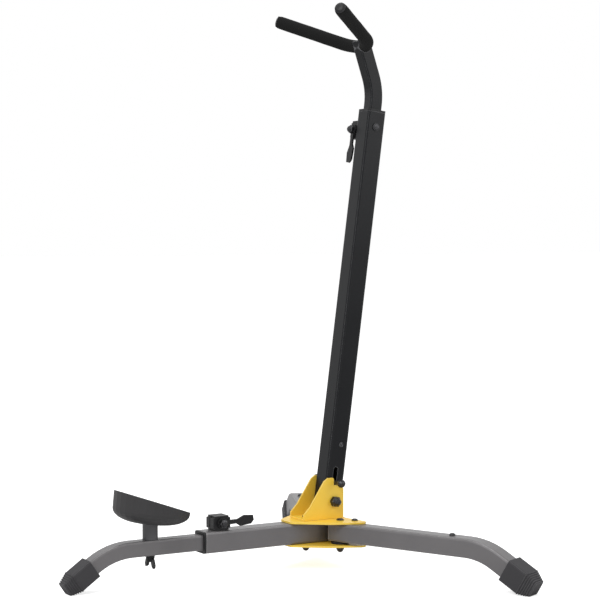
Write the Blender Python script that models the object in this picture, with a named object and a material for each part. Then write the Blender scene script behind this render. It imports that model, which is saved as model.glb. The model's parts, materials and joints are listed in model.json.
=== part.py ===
# Tall folding tripod stand with a padded yoke and a rubber cup, for a bass clarinet.
# Front is -Y, up is +Z, and the plane X = 0 is the plane of symmetry of the frame.
import math

import bmesh
import bpy
from mathutils import Matrix, Vector

mm = 0.001

# Clearances
seat_gap = 0.3 * mm
bolt_clearance = 0.4 * mm
slide_gap = 0.4 * mm

# Square tubes
upright_side = 28 * mm
rear_leg_side = 25 * mm
front_inner_side = 20 * mm
mast_side = 19 * mm
tube_wall = 1.5 * mm
tube_corner = 3.0 * mm
inner_tube_corner = 2.4 * mm

# Base
plate_thickness = 2.5 * mm
plate_nose_reach = 66 * mm
plate_nose_half = 14 * mm
plate_flank_back = 24 * mm
plate_flank_half = 46 * mm
plate_lobe_half = 65 * mm
plate_lobe_rear = 26 * mm
plate_waist_rear = 18 * mm
plate_corner = 9 * mm
lower_plate_height = 32.5 * mm
base_bolt_front = 34 * mm
base_bolt_rear = 2 * mm
leg_pivot_half = 33 * mm
leg_spacer_diameter = 25 * mm
leg_bolt_diameter = 6 * mm
stop_screw_out = 46 * mm
stop_screw_rear = 15 * mm

# Pivot bracket
bracket_wall = 2.5 * mm
ear_front = 48 * mm
ear_rear = 14.4 * mm
ear_toe_rise = 8 * mm
ear_knee_back = 10 * mm
ear_knee_rise = 18 * mm
ear_crest_rise = 32 * mm
ear_crest_front = 12 * mm
ear_shoulder = 22.0 * mm
pivot_rise = 20.6 * mm
main_bolt_diameter = 8 * mm

# Upright and mast
upright_lean = math.radians(7.7)
upright_above_pivot = 532 * mm
upright_below_pivot = 9 * mm
mast_engaged = 300 * mm
neck_rise = 8 * mm
neck_radius = 85 * mm
neck_bend = math.radians(26.5)
neck_straight = 42 * mm
lock_rise = 25.5 * mm
lock_set_back = 2.5 * mm
lock_pin_diameter = 6 * mm
lock_travel = 17 * mm
lock_knob_radius = 5.8 * mm
lock_stem = 13.5 * mm

# Yoke
foam_diameter = 17.6 * mm
rod_diameter = 8 * mm
yoke_forward = 86 * mm
yoke_rise = 37 * mm
yoke_root_radius = 38 * mm
yoke_arm_angle = math.radians(33)

# Legs
rear_leg_splay = math.radians(66)
rear_leg_run = 197 * mm
rear_leg_tail = 11 * mm
rear_leg_droop = math.radians(30)
front_leg_droop = math.radians(35)
leg_bend_radius = 90 * mm
leg_screw_out = 174 * mm
front_tube_front = 192 * mm
front_tube_rear = 12 * mm
front_inner_rear = 104 * mm
front_inner_bend = 294 * mm
collar_length = 2.5 * mm
collar_skirt = 14 * mm

# Feet
foot_wall = 3.0 * mm
foot_sleeve = 27 * mm
foot_tip = 17 * mm
foot_tip_share = 0.66
foot_plug = 4 * mm
foot_end_gap = 0.6 * mm
foot_sink = 0.8 * mm

# Cup
cup_place = 266 * mm
post_diameter = 20 * mm
post_height = 20 * mm
cup_radius = 50 * mm
cup_wall = 4 * mm
cup_front_height = 47 * mm
cup_rim_tilt = math.radians(19.4)
cup_bowl_tilt = math.radians(7)
cup_bolt_diameter = 6 * mm
cup_pad_radius = 14 * mm
cup_bowl_rise = 16 * mm
cup_uncut_height = 60 * mm
cup_draft = 1 * mm
cup_recess_radius = 8 * mm
cup_recess_depth = 1.6 * mm

# Fasteners
base_bolt_head_radius = 5.2 * mm
base_bolt_head_height = 2.3 * mm
base_nut_flats = 10 * mm
base_nut_hex_height = 5 * mm
base_nut_dome = 4.5 * mm
base_nut_depth = 6 * mm
thread_in_nut = 5 * mm
stop_screw_radius = 2.4 * mm
stop_screw_head_radius = 4.4 * mm
stop_screw_head_height = 2.6 * mm
leg_screw_radius = 1.8 * mm
leg_screw_head_radius = 4.2 * mm
leg_screw_head_height = 3.0 * mm
leg_screw_length = 5 * mm
guide_screw_radius = 2.2 * mm
guide_screw_head_radius = 5.2 * mm
guide_screw_head_height = 2.8 * mm
guide_screw_length = 3.0 * mm
guide_screw_drop = 21 * mm
main_bolt_head_radius = 7 * mm
main_bolt_head_height = 4 * mm
main_nut_flats = 13 * mm
main_nut_hex_height = 6 * mm
main_nut_dome = 6 * mm
main_nut_depth = 7.5 * mm
main_thread_in_nut = 6.5 * mm
washer_radius = 9 * mm
cutter_overrun = 1 * mm

# Clamps
clamp_length = 25 * mm
clamp_width = 20 * mm
clamp_height = 19 * mm
clamp_set_back = 12 * mm
lever_reach = 46 * mm
lever_thickness = 3 * mm
lever_blade = 13 * mm

# Places worked out from the sizes above
plate_gap = upright_side + 2 * seat_gap
lower_plate_top = lower_plate_height + plate_thickness
top_plate_bottom = lower_plate_top + plate_gap
top_plate_top = top_plate_bottom + plate_thickness
bracket_floor = top_plate_top + seat_gap
pivot_height = bracket_floor + bracket_wall + pivot_rise
front_axis = lower_plate_top + seat_gap + upright_side / 2
rear_axis = top_plate_bottom - seat_gap - rear_leg_side / 2
rear_leg_bottom = rear_axis - rear_leg_side / 2
washer_thickness = 1.2 * mm
bracket_inner_half = upright_side / 2 + washer_thickness + 2 * seat_gap
bracket_half = bracket_inner_half + bracket_wall


def clear_scene():
    for thing in list(bpy.data.objects):
        bpy.data.objects.remove(thing, do_unlink=True)


def make_material(name, colour, roughness, metallic):
    material = bpy.data.materials.new(name)
    material.use_nodes = True
    shader = material.node_tree.nodes["Principled BSDF"]
    shader.inputs["Base Color"].default_value = (*colour, 1.0)
    shader.inputs["Roughness"].default_value = roughness
    shader.inputs["Metallic"].default_value = metallic
    return material


finishes = {
    "yellow": ((0.90, 0.53, 0.03), 0.35, 0.0),
    "charcoal": ((0.12, 0.12, 0.125), 0.40, 0.3),
    "black": ((0.02, 0.02, 0.022), 0.35, 0.3),
    "rubber": ((0.05, 0.05, 0.052), 0.75, 0.0),
    "foam": ((0.015, 0.015, 0.015), 0.95, 0.0),
    "plastic": ((0.02, 0.02, 0.02), 0.45, 0.0),
    "steel": ((0.25, 0.25, 0.26), 0.30, 1.0),
}


def add_object(name, mesh_data, finish, parent=None, matrix=None):
    mesh = bpy.data.meshes.new(name)
    mesh_data.normal_update()
    bmesh.ops.recalc_face_normals(mesh_data, faces=mesh_data.faces)
    mesh_data.to_mesh(mesh)
    mesh_data.free()
    mesh.shade_smooth()
    mesh.set_sharp_from_angle(angle=math.radians(30))
    thing = bpy.data.objects.new(name, mesh)
    bpy.context.scene.collection.objects.link(thing)
    colour, roughness, metallic = finishes[finish]
    mesh.materials.append(make_material(name, colour, roughness, metallic))
    if parent:
        thing.parent = parent
    if matrix:
        thing.matrix_local = matrix
    return thing


def add_empty(name, location=(0, 0, 0), rotation=(0, 0, 0), parent=None):
    empty = bpy.data.objects.new(name, None)
    empty.empty_display_size = 0.02
    bpy.context.scene.collection.objects.link(empty)
    empty.location = location
    empty.rotation_euler = rotation
    empty.parent = parent
    return empty


def rounded_square(side, corner, steps=2):
    points = []
    reach = side / 2 - corner
    for quarter in range(4):
        middle = math.radians(45 + 90 * quarter)
        for step in range(steps + 1):
            angle = math.radians(90 * quarter + 90 * step / steps)
            points.append((
                math.copysign(reach, math.cos(middle)) + corner * math.cos(angle),
                math.copysign(reach, math.sin(middle)) + corner * math.sin(angle),
            ))
    return points


def circle(radius, steps):
    return [
        (radius * math.cos(2 * math.pi * step / steps), radius * math.sin(2 * math.pi * step / steps))
        for step in range(steps)
    ]


def ring(mesh_data, outline, frame):
    return [mesh_data.verts.new(frame @ Vector((across, up, 0))) for across, up in outline]


def bridge(mesh_data, first, second):
    count = len(first)
    for index in range(count):
        following = (index + 1) % count
        mesh_data.faces.new((first[index], first[following], second[following], second[index]))


def sweep(outer, inner, frames):
    """Carry an outline along frames, as a solid bar or as an open tube."""
    mesh_data = bmesh.new()
    outside = [ring(mesh_data, outer, frame) for frame in frames]
    for first, second in zip(outside, outside[1:]):
        bridge(mesh_data, first, second)
    if inner:
        inside = [ring(mesh_data, inner, frame) for frame in frames]
        for first, second in zip(inside, inside[1:]):
            bridge(mesh_data, first, second)
        bridge(mesh_data, outside[0], inside[0])
        bridge(mesh_data, outside[-1], inside[-1])
    else:
        mesh_data.faces.new(outside[0])
        mesh_data.faces.new(outside[-1])
    return mesh_data


def frame_on(place, forward, side):
    """A frame whose Z runs along forward and whose X is side."""
    forward = Vector(forward).normalized()
    side = Vector(side).normalized()
    up = forward.cross(side)
    frame = Matrix((side, up, forward)).transposed().to_4x4()
    frame.translation = Vector(place)
    return frame


def drooping_path(start, straight_end, height, radius, droop, tail, steps=6):
    """Frames of a leg that runs along +Y, then bends down by droop and ends in a straight tail."""
    frames = [frame_on((0, start, height), (0, 1, 0), (1, 0, 0))]
    for step in range(steps + 1):
        angle = droop * step / steps
        place = (0, straight_end + radius * math.sin(angle), height - radius * (1 - math.cos(angle)))
        frames.append(frame_on(place, (0, math.cos(angle), -math.sin(angle)), (1, 0, 0)))
    last = frames[-1].copy()
    last.translation += last.col[2].to_3d() * tail
    frames.append(last)
    return frames


def revolve(profile, steps, matrix=None):
    """Turn a closed profile of (radius, height) points about Z; points at radius 0 become poles."""
    mesh_data = bmesh.new()
    rows = []
    for radius, height in profile:
        if radius < 1e-7:
            rows.append([mesh_data.verts.new((0, 0, height))])
        else:
            rows.append([mesh_data.verts.new((x, y, height)) for x, y in circle(radius, steps)])
    for first, second in zip(rows, rows[1:] + rows[:1]):
        if len(first) == 1 and len(second) == 1:
            continue
        if len(first) == 1 or len(second) == 1:
            pole = first[0] if len(first) == 1 else second[0]
            loop = second if len(first) == 1 else first
            for index in range(steps):
                mesh_data.faces.new((pole, loop[index], loop[(index + 1) % steps]))
        else:
            bridge(mesh_data, first, second)
    if matrix:
        mesh_data.transform(matrix)
    return mesh_data


def prism(outline, low, high, axis="Z"):
    """An outline pushed from low to high along an axis."""
    mesh_data = bmesh.new()
    places = {
        "Z": lambda a, b, c: (a, b, c),
        "X": lambda a, b, c: (c, a, b),
    }[axis]
    bottom = [mesh_data.verts.new(places(a, b, low)) for a, b in outline]
    top = [mesh_data.verts.new(places(a, b, high)) for a, b in outline]
    bridge(mesh_data, bottom, top)
    mesh_data.faces.new(bottom)
    mesh_data.faces.new(top)
    return mesh_data


def block(low, high):
    return prism(
        [(low[0], low[1]), (high[0], low[1]), (high[0], high[1]), (low[0], high[1])], low[2], high[2]
    )


def round_corners(points, radius, steps=3):
    """Replace each corner of an outline with an arc that fits its angle."""
    result = []
    count = len(points)
    for index in range(count):
        corner = Vector(points[index])
        before = Vector(points[index - 1]) - corner
        after = Vector(points[(index + 1) % count]) - corner
        angle = before.angle(after)
        cut = min(radius / math.tan(angle / 2), 0.45 * before.length, 0.45 * after.length)
        fitted = cut * math.tan(angle / 2)
        before.normalize()
        after.normalize()
        centre = corner + (before + after).normalized() * (fitted / math.sin(angle / 2))
        start = corner + before * cut - centre
        end = corner + after * cut - centre
        sweep_angle = start.angle_signed(end)
        for step in range(steps + 1):
            turned = start.copy()
            turned.rotate(Matrix.Rotation(-sweep_angle * step / steps, 2))
            result.append(tuple(centre + turned))
    return result


def cut(targets, mesh_data, name, parent=None, matrix=None):
    """Cut one hidden solid out of one or more objects."""
    cutter = add_object(name, mesh_data, "steel", parent, matrix)
    cutter.hide_render = True
    cutter.display_type = "WIRE"
    for target in targets:
        modifier = target.modifiers.new(name, "BOOLEAN")
        modifier.operation = "DIFFERENCE"
        modifier.solver = "EXACT"
        modifier.object = cutter


def rod(radius, low, high, steps=16, matrix=None):
    return revolve([(0, low), (radius, low), (radius, high), (0, high)], steps, matrix)


def along_x(place):
    """Turn Z into X and move to place."""
    return Matrix.Translation(Vector(place)) @ Matrix.Rotation(math.pi / 2, 4, "Y")


def dome_nut(across_flats, hex_height, dome_height, bore_radius, depth, steps=12):
    """A dome nut that stands on Z = 0 with a blind bore from below, as one closed body."""
    mesh_data = bmesh.new()
    outline = []
    for index in range(steps):
        angle = 2 * math.pi * index / steps
        sector = (angle + math.pi / 6) % (math.pi / 3) - math.pi / 6
        reach = across_flats / 2 / math.cos(sector)
        outline.append((reach * math.cos(angle), reach * math.sin(angle)))
    dome_radius = across_flats / 2 * 0.92
    rows = [
        [mesh_data.verts.new((x, y, 0)) for x, y in outline],
        [mesh_data.verts.new((x, y, hex_height)) for x, y in outline],
    ]
    for share in (1.0, 0.75, 0.4):
        reach = dome_radius * share
        height = hex_height + dome_height * math.sqrt(1 - (share * 0.98) ** 2)
        rows.append([mesh_data.verts.new((x, y, height)) for x, y in circle(reach, steps)])
    for first, second in zip(rows, rows[1:]):
        bridge(mesh_data, first, second)
    mesh_data.faces.new(rows[-1])
    low = [mesh_data.verts.new((x, y, 0)) for x, y in circle(bore_radius, steps)]
    high = [mesh_data.verts.new((x, y, depth)) for x, y in circle(bore_radius, steps)]
    bridge(mesh_data, low, high)
    bridge(mesh_data, rows[0], low)
    mesh_data.faces.new(high)
    return mesh_data


def button_bolt(shank_radius, head_radius, head_height, length, steps=14):
    """A bolt whose head stands on Z = 0 and whose shank runs down."""
    profile = [
        (0, head_height),
        (head_radius * 0.6, head_height * 0.94),
        (head_radius, head_height * 0.35),
        (head_radius, 0),
        (shank_radius, 0),
        (shank_radius, -length),
        (0, -length),
    ]
    return revolve(profile, steps)


def moved(mesh_data, matrix):
    mesh_data.transform(matrix)
    return mesh_data


def plate_outline():
    half = [
        (plate_nose_half, -plate_nose_reach),
        (plate_flank_half, -plate_flank_back),
        (plate_lobe_half, plate_waist_rear),
        (plate_lobe_half - 6 * mm, plate_lobe_rear),
        (plate_flank_half / 2, plate_waist_rear),
    ]
    mirrored = [(-x, y) for x, y in reversed(half)]
    return round_corners(half + mirrored, plate_corner)


def make_base(stand):
    top = add_object(
        "top_plate", prism(plate_outline(), top_plate_bottom, top_plate_top), "yellow", stand
    )
    lower = add_object(
        "lower_plate", prism(plate_outline(), lower_plate_height, lower_plate_top), "yellow", stand
    )
    outer = rounded_square(upright_side, tube_corner)
    inner = rounded_square(upright_side - 2 * tube_wall, tube_corner - tube_wall)
    frames = [
        frame_on((0, front_tube_rear, front_axis), (0, -1, 0), (1, 0, 0)),
        frame_on((0, -front_tube_front, front_axis), (0, -1, 0), (1, 0, 0)),
    ]
    tube = add_object("front_outer_tube", sweep(outer, inner, frames), "charcoal", stand)
    bracket = make_bracket(stand)
    for label, place, stack_top in (
        ("front", -base_bolt_front, bracket_floor + bracket_wall),
        ("rear", base_bolt_rear, bracket_floor + bracket_wall),
    ):
        pierced = [top, lower, tube, bracket]
        make_through_bolt(
            stand, f"base_bolt_{label}", f"base_nut_{label}", (0, place), stack_top, pierced
        )
    for side, sign in (("right", 1), ("left", -1)):
        centre = (sign * leg_pivot_half, 0)
        spacer = revolve(
            [
                (leg_bolt_diameter / 2 + bolt_clearance, lower_plate_top + seat_gap),
                (leg_spacer_diameter / 2, lower_plate_top + seat_gap),
                (leg_spacer_diameter / 2, rear_leg_bottom - seat_gap),
                (leg_bolt_diameter / 2 + bolt_clearance, rear_leg_bottom - seat_gap),
            ],
            20,
            Matrix.Translation((*centre, 0)),
        )
        add_object(f"leg_spacer_{side}", spacer, "plastic", stand)
        make_through_bolt(
            stand, f"leg_pivot_bolt_{side}", f"leg_pivot_nut_{side}", centre, top_plate_top, [top, lower]
        )
        stop = button_bolt(
            stop_screw_radius, stop_screw_head_radius, stop_screw_head_height, plate_thickness
        )
        place = Vector((sign * stop_screw_out, stop_screw_rear, top_plate_top + seat_gap))
        add_object(f"stop_screw_{side}", moved(stop, Matrix.Translation(place)), "steel", stand)
        hole = rod(
            stop_screw_radius + bolt_clearance,
            top_plate_bottom - cutter_overrun,
            top_plate_top + cutter_overrun,
        )
        cut([top], moved(hole, Matrix.Translation((place.x, place.y, 0))), f"stop_hole_{side}", stand)


def make_through_bolt(stand, bolt_name, nut_name, centre, stack_top, targets):
    """A button-head bolt down through the plates, with a dome nut below."""
    radius = leg_bolt_diameter / 2
    head_seat = stack_top + seat_gap
    nut_top = lower_plate_height - seat_gap
    length = head_seat - nut_top + thread_in_nut
    shift = Matrix.Translation((*centre, head_seat))
    bolt = button_bolt(radius, base_bolt_head_radius, base_bolt_head_height, length)
    add_object(bolt_name, moved(bolt, shift), "black", stand)
    nut = dome_nut(
        base_nut_flats, base_nut_hex_height, base_nut_dome, radius + bolt_clearance, base_nut_depth
    )
    turn = Matrix.Translation((*centre, nut_top)) @ Matrix.Rotation(math.pi, 4, "X")
    add_object(nut_name, moved(nut, turn), "steel", stand)
    hole = rod(radius + bolt_clearance, nut_top - cutter_overrun, head_seat + cutter_overrun)
    cut(targets, moved(hole, Matrix.Translation((*centre, 0))), f"{bolt_name}_hole", stand)


def ear_outline():
    """Side view of the bracket: toe, sloping front, crest in front of the pin, round rear shoulder."""
    pin_front = lock_set_back - lock_pin_diameter / 2 - seat_gap
    outline = [
        (-ear_front, 0),
        (-ear_front, ear_toe_rise),
        (-ear_front + ear_knee_back, ear_knee_rise),
        (-ear_crest_front - 4 * mm, pivot_rise + bracket_wall + ear_crest_rise - 4 * mm),
        (-ear_crest_front + 2 * mm, pivot_rise + bracket_wall + ear_crest_rise),
        (pin_front - 1.5 * mm, pivot_rise + bracket_wall + ear_crest_rise),
        (pin_front, pivot_rise + bracket_wall + ear_crest_rise - 1.5 * mm),
    ]
    start = math.acos(pin_front / ear_shoulder)
    end = math.acos(ear_rear / ear_shoulder)
    for step in range(7):
        angle = start + (end - start) * step / 6
        outline.append((
            ear_shoulder * math.cos(angle), pivot_rise + bracket_wall + ear_shoulder * math.sin(angle)
        ))
    outline.append((ear_rear, 0))
    return outline


def make_bracket(stand):
    """One folded sheet: two ears and a floor, made as a solid with the channel cut out."""
    outline = [(y, z + bracket_floor) for y, z in ear_outline()]
    bracket = add_object("pivot_bracket", prism(outline, -bracket_half, bracket_half, "X"), "yellow", stand)
    channel_top = bracket_floor + pivot_rise + bracket_wall + ear_crest_rise + 5 * mm
    channel = block(
        (-bracket_inner_half, -ear_front - 5 * mm, bracket_floor + bracket_wall),
        (bracket_inner_half, ear_rear + 5 * mm, channel_top),
    )
    cut([bracket], channel, "bracket_channel", stand)
    hole = rod(
        main_bolt_diameter / 2 + bolt_clearance,
        -bracket_half - 2 * mm,
        bracket_half + 2 * mm,
        16,
        along_x((0, 0, pivot_height)),
    )
    cut([bracket], hole, "bracket_pivot_hole", stand)
    return bracket


def make_foot(name, side, parent, frame):
    """Rubber cap: a square sleeve over the tube end and a tip that draws in, cut flat at the floor."""
    outer_side = side + 2 * foot_wall
    sleeve = rounded_square(outer_side, 2.5 * mm)
    tip = rounded_square(outer_side * foot_tip_share, 3 * mm)
    mesh_data = bmesh.new()
    reaches = ((0, sleeve), (foot_sleeve, sleeve), (foot_sleeve + foot_tip, tip))
    rings = [
        ring(mesh_data, outline, frame @ Matrix.Translation((0, 0, reach))) for reach, outline in reaches
    ]
    for first, second in zip(rings, rings[1:]):
        bridge(mesh_data, first, second)
    mesh_data.faces.new(rings[-1])
    bore = rounded_square(side + 2 * seat_gap, tube_corner, 2)
    mouth = ring(mesh_data, bore, frame)
    floor = ring(mesh_data, bore, frame @ Matrix.Translation((0, 0, foot_sleeve - foot_plug)))
    bridge(mesh_data, mouth, floor)
    mesh_data.faces.new(floor)
    bridge(mesh_data, rings[0], mouth)
    foot = add_object(name, mesh_data, "rubber", parent)
    cut([foot], block((-0.1, -0.1, -0.05), (0.1, 0.5, 0)), f"{name}_floor", parent)


def foot_frame(path):
    """Where the foot's sleeve starts: on the tube, a bore's depth back from its end."""
    return path[-1] @ Matrix.Translation((0, 0, foot_plug + foot_end_gap - foot_sleeve))


def tail_for(height, radius, droop, side):
    """The straight tail that brings the foot's tip corner just under the floor."""
    outer_half = (side + 2 * foot_wall) / 2 * foot_tip_share
    drop_arc = radius * (1 - math.cos(droop))
    beyond_tube = foot_tip + foot_plug + foot_end_gap
    tip_drop = beyond_tube * math.sin(droop) + outer_half * math.cos(droop)
    return (height - drop_arc - tip_drop + foot_sink) / math.sin(droop)


def make_rear_legs(stand):
    outer = rounded_square(rear_leg_side, tube_corner)
    inner = rounded_square(rear_leg_side - 2 * tube_wall, tube_corner - tube_wall)
    for side, sign in (("right", 1), ("left", -1)):
        hinge = add_empty(
            f"rear_leg_hinge_{side}", (sign * leg_pivot_half, 0, 0), (0, 0, -sign * rear_leg_splay), stand
        )
        tail = tail_for(rear_axis, leg_bend_radius, rear_leg_droop, rear_leg_side)
        path = drooping_path(
            -rear_leg_tail, rear_leg_run, rear_axis, leg_bend_radius, rear_leg_droop, tail
        )
        leg = add_object(f"rear_leg_{side}", sweep(outer, inner, path), "charcoal", hinge)
        hole = rod(leg_bolt_diameter / 2 + bolt_clearance, rear_leg_bottom - 5 * mm, top_plate_top)
        cut([leg], hole, f"rear_leg_hole_{side}", hinge)
        make_foot(f"rear_foot_{side}", rear_leg_side, hinge, foot_frame(path))
        top = rear_axis + rear_leg_side / 2
        screw = button_bolt(
            leg_screw_radius, leg_screw_head_radius, leg_screw_head_height, leg_screw_length
        )
        screw.transform(Matrix.Translation((0, leg_screw_out, top + seat_gap)))
        add_object(f"leg_screw_{side}", screw, "black", hinge)
        small = rod(
            leg_screw_radius + bolt_clearance, top - tube_wall - cutter_overrun, top + cutter_overrun
        )
        cut([leg], moved(small, Matrix.Translation((0, leg_screw_out, 0))), f"leg_screw_hole_{side}", hinge)


def make_front_leg(stand):
    outer = rounded_square(front_inner_side, inner_tube_corner)
    inner = rounded_square(front_inner_side - 2 * tube_wall, inner_tube_corner - tube_wall)
    leg = add_empty("front_leg_slide", (0, 0, 0), (0, 0, math.pi), stand)
    tail = tail_for(front_axis, leg_bend_radius, front_leg_droop, front_inner_side)
    path = drooping_path(
        front_inner_rear, front_inner_bend, front_axis, leg_bend_radius, front_leg_droop, tail
    )
    tube = add_object("front_inner_tube", sweep(outer, inner, path), "charcoal", leg)
    make_foot("front_foot", front_inner_side, leg, foot_frame(path))
    tube_end = frame_on((0, -front_tube_front, front_axis), (0, -1, 0), (1, 0, 0))
    add_object("front_tube_collar", stepped_collar(front_inner_side, tube_end), "plastic", stand)
    make_cup(leg, tube)
    make_leg_clamp(stand)


def stepped_collar(inner_side, tube_end):
    """A collar on an outer tube's end: its lip covers the end wall and its skirt goes inside.

    tube_end stands at the tube's end with its Z pointing out of the tube.
    """
    lip = rounded_square(upright_side, tube_corner)
    skirt = rounded_square(upright_side - 2 * tube_wall - 2 * seat_gap, tube_corner - tube_wall)
    bore = rounded_square(inner_side + 2 * slide_gap, inner_tube_corner)
    mesh_data = bmesh.new()
    levels = (
        (skirt, -collar_skirt),
        (skirt, seat_gap),
        (lip, seat_gap),
        (lip, seat_gap + collar_length),
        (bore, seat_gap + collar_length),
        (bore, -collar_skirt),
    )
    rows = [
        ring(mesh_data, outline, tube_end @ Matrix.Translation((0, 0, level))) for outline, level in levels
    ]
    for first, second in zip(rows, rows[1:] + rows[:1]):
        bridge(mesh_data, first, second)
    return mesh_data


def make_cup(leg, tube):
    """Post, bowl with a slanted rim, bolt down through the leg, and a wing nut below."""
    tube_top = front_axis + front_inner_side / 2
    post_low = tube_top + seat_gap
    post_high = post_low + post_height
    bolt_radius = cup_bolt_diameter / 2
    swivel = add_empty("cup_swivel", (0, cup_place, 0), (0, 0, 0), leg)
    post = revolve(
        [
            (bolt_radius + bolt_clearance, post_low),
            (post_diameter / 2, post_low),
            (post_diameter / 2, post_high),
            (bolt_radius + bolt_clearance, post_high),
        ],
        20,
    )
    add_object("cup_post", post, "rubber", swivel)
    bowl_base = post_high + seat_gap
    outside = []
    steps = 7
    for step in range(steps + 1):
        angle = math.radians(90 * step / steps)
        outside.append((
            cup_pad_radius + (cup_radius - cup_pad_radius) * math.sin(angle) ** 0.9,
            cup_bowl_rise * (1 - math.cos(angle)),
        ))
    inside = [(radius - cup_wall, height + cup_wall) for radius, height in outside]
    outside.append((cup_radius + cup_draft, cup_uncut_height))
    inside.append((cup_radius + cup_draft - cup_wall, cup_uncut_height))
    profile = [(0, 0)] + outside + list(reversed(inside)) + [(0, cup_wall)]
    tilt = Matrix.Translation((0, 0, bowl_base)) @ Matrix.Rotation(cup_bowl_tilt, 4, "X")
    cup = add_object("cup", moved(revolve(profile, 32), tilt), "rubber", swivel)
    # In the leg's own frame +Y is the front, so the high lip is at +Y.
    plane = Matrix.Translation((0, cup_radius, bowl_base + cup_front_height))
    plane = plane @ Matrix.Rotation(cup_rim_tilt, 4, "X")
    cut([cup], moved(block((-0.1, -0.2, 0), (0.1, 0.1, 0.1)), plane), "cup_rim_cut", swivel)
    # The bowl tilts on a flat pad, so the post's top and the bolt's head stay level.
    cut([cup], block((-0.1, -0.1, 0), (0.1, 0.1, bowl_base)), "cup_base_cut", swivel)
    head_seat = bowl_base + cup_wall + cup_recess_depth
    cut([cup], rod(cup_recess_radius, head_seat - 0.2 * mm, head_seat + 6 * mm), "cup_head_recess", swivel)
    hole = rod(bolt_radius + bolt_clearance, 20 * mm, head_seat + 5 * mm)
    cut([cup, tube], hole, "cup_bolt_hole", swivel)
    tube_bottom = front_axis - front_inner_side / 2
    bolt = button_bolt(bolt_radius, 6 * mm, 2.6 * mm, head_seat - tube_bottom + 9 * mm)
    add_object("cup_bolt", moved(bolt, Matrix.Translation((0, 0, head_seat + 0.1 * mm))), "steel", swivel)
    make_wing_nut(leg, tube_bottom - seat_gap)


def make_wing_nut(leg, top):
    hub_radius = 6.2 * mm
    hub_height = 8 * mm
    nut = add_empty("wing_nut_spin", (0, cup_place, top), (0, 0, 0), leg)
    hub = revolve(
        [
            (cup_bolt_diameter / 2 + bolt_clearance, 0),
            (hub_radius, 0),
            (hub_radius * 0.8, -hub_height),
            (cup_bolt_diameter / 2 + bolt_clearance, -hub_height),
        ],
        16,
    )
    body = add_object("cup_wing_nut", hub, "plastic", nut)
    for index, sign in enumerate((1, -1)):
        wing = [
            (sign * 4.2 * mm, -1.5 * mm),
            (sign * 10 * mm, -5 * mm),
            (sign * 13 * mm, -12 * mm),
            (sign * 11 * mm, -16 * mm),
            (sign * 7.5 * mm, -14 * mm),
            (sign * 4.2 * mm, -7 * mm),
        ]
        blade = prism(wing, -1.7 * mm, 1.7 * mm, "Z")
        blade.transform(Matrix.Rotation(math.pi / 2, 4, "X"))
        piece = add_object(f"wing_{index}", blade, "plastic", nut)
        piece.hide_render = True
        piece.display_type = "WIRE"
        join = body.modifiers.new(f"wing_{index}", "BOOLEAN")
        join.operation = "UNION"
        join.solver = "EXACT"
        join.object = piece


def clamp_set(names, parent, hinge_name, matrix, side=1):
    """Clamp block standing on a tube wall along +Z, with its lever along +Y on one side of it."""
    handed = Matrix.Scale(side, 4, (1, 0, 0))
    block_name, bolt_name, lever_name, nut_name = names
    half = clamp_width / 2
    body = block((-half, -clamp_length / 2, 0), (half, clamp_length / 2, clamp_height))
    bmesh.ops.bevel(
        body,
        geom=[edge for edge in body.edges if abs(edge.verts[0].co.x - edge.verts[1].co.x) > half],
        offset=2.5 * mm, segments=2, affect="EDGES",
    )
    clamp = add_object(block_name, moved(body, handed), "plastic", parent, matrix)
    axis_height = clamp_height * 0.5
    slot = block(
        (-1 * mm, -clamp_length / 2 - 1 * mm, axis_height - 6 * mm), (1 * mm, clamp_length, 0.1)
    )
    cut([clamp], moved(slot, handed), f"{block_name}_slot", parent, matrix)
    radius = 3 * mm
    through = rod(radius + bolt_clearance, -half - 1 * mm, half + 1 * mm, 14, along_x((0, 0, axis_height)))
    cut([clamp], moved(through, handed), f"{block_name}_hole", parent, matrix)
    bolt = button_bolt(radius, 5.5 * mm, 3 * mm, clamp_width + lever_thickness + 6 * mm)
    bolt.transform(along_x((-half - seat_gap, 0, axis_height)) @ Matrix.Rotation(math.pi, 4, "X"))
    add_object(bolt_name, moved(bolt, handed), "black", parent, matrix)
    hinge = add_empty(hinge_name, (0, 0, 0), (0, 0, 0), parent)
    hinge.matrix_local = matrix @ Matrix.Translation((0, 0, axis_height))
    lever_low = half + seat_gap
    hub = rod(7 * mm, lever_low, lever_low + lever_thickness, 18, along_x((0, 0, 0)))
    lever = add_object(lever_name, moved(hub, handed), "plastic", hinge)
    arm = [
        (4 * mm, -2.6 * mm),
        (20 * mm, -1.6 * mm),
        (26 * mm, -lever_blade / 2 + 1 * mm),
        (lever_reach - 4 * mm, -lever_blade / 2 + 3 * mm),
        (lever_reach, 1 * mm),
        (lever_reach - 1 * mm, lever_blade / 2 + 1 * mm),
        (lever_reach - 14 * mm, lever_blade / 2 + 2 * mm),
        (22 * mm, 4 * mm),
        (4 * mm, 3.6 * mm),
    ]
    flat = prism(arm, lever_low + 0.2 * mm, lever_low + lever_thickness - 0.2 * mm, "X")
    blade = add_object(f"{lever_name}_arm", moved(flat, handed), "plastic", hinge)
    blade.hide_render = True
    blade.display_type = "WIRE"
    join = lever.modifiers.new("arm", "BOOLEAN")
    join.operation = "UNION"
    join.solver = "EXACT"
    join.object = blade
    bore = rod(radius + bolt_clearance, lever_low - 1 * mm, lever_low + 6 * mm, 14, along_x((0, 0, 0)))
    cut([lever], moved(bore, handed), f"{lever_name}_bore", hinge)
    nut = dome_nut(10 * mm, 4 * mm, 4 * mm, radius + bolt_clearance, 5.8 * mm + seat_gap)
    nut.transform(along_x((lever_low + lever_thickness + seat_gap, 0, axis_height)))
    add_object(nut_name, moved(nut, handed), "black", parent, matrix)


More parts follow.
